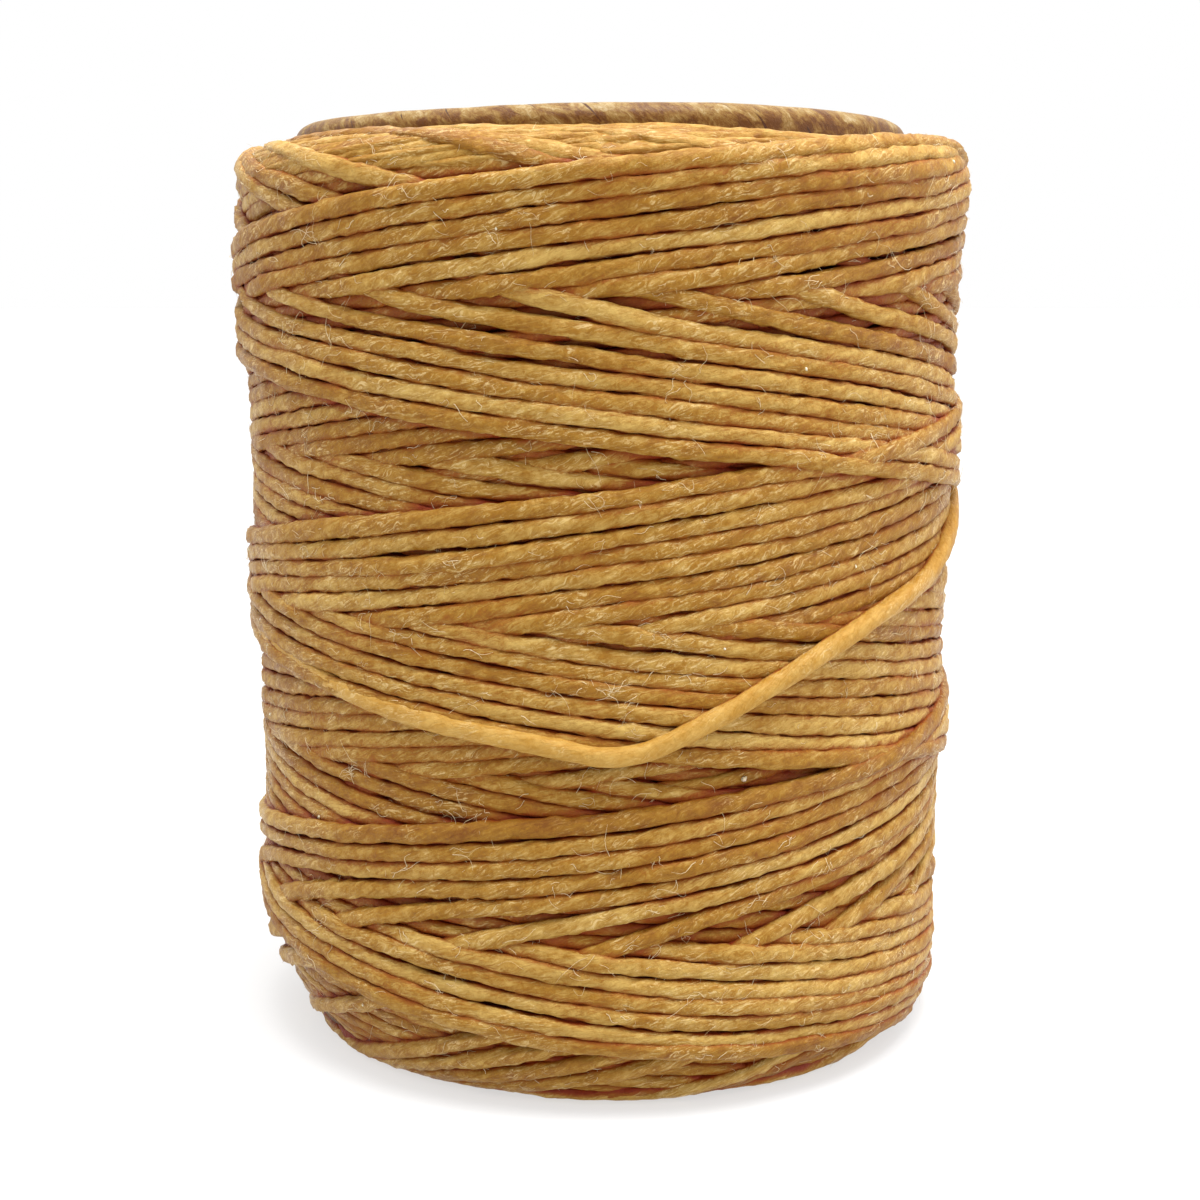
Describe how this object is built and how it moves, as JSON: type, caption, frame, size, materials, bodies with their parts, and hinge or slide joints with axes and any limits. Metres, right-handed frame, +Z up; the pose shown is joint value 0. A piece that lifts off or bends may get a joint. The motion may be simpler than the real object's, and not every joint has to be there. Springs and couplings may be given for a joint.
{
  "type": "waxed thread spool",
  "caption": "Cylindrical spool of golden waxed linen thread, cross-wound on a kraft paper tube with rolled rims, its last wrap lying slack round the outside.",
  "frame": {"origin": "centre of the paper tube's bottom end, on the tube's axis, in the plane the spool stands on", "axes": "+Z up along the tube's axis; -Y is the front, where the slack last wrap dips to its lowest point; +X to the right of it"},
  "size_m": [0.0453, 0.0447, 0.0542],
  "materials": {
    "liner_paper": "matte",
    "board": "matte",
    "kraft_wrap": "satin",
    "waxed_linen": "satin"
  },
  "bodies": {
    "root": {"tube_liner": "liner_paper", "tube_ply_inner": "board", "tube_ply_middle": "board", "tube_ply_outer": "board", "tube_wrap": "kraft_wrap", "winding_inner_layers": "waxed_linen", "winding_middle_layers": "waxed_linen", "winding_outer_layers": "waxed_linen", "thread_last_wrap": "waxed_linen"}
  },
  "joints": []
}
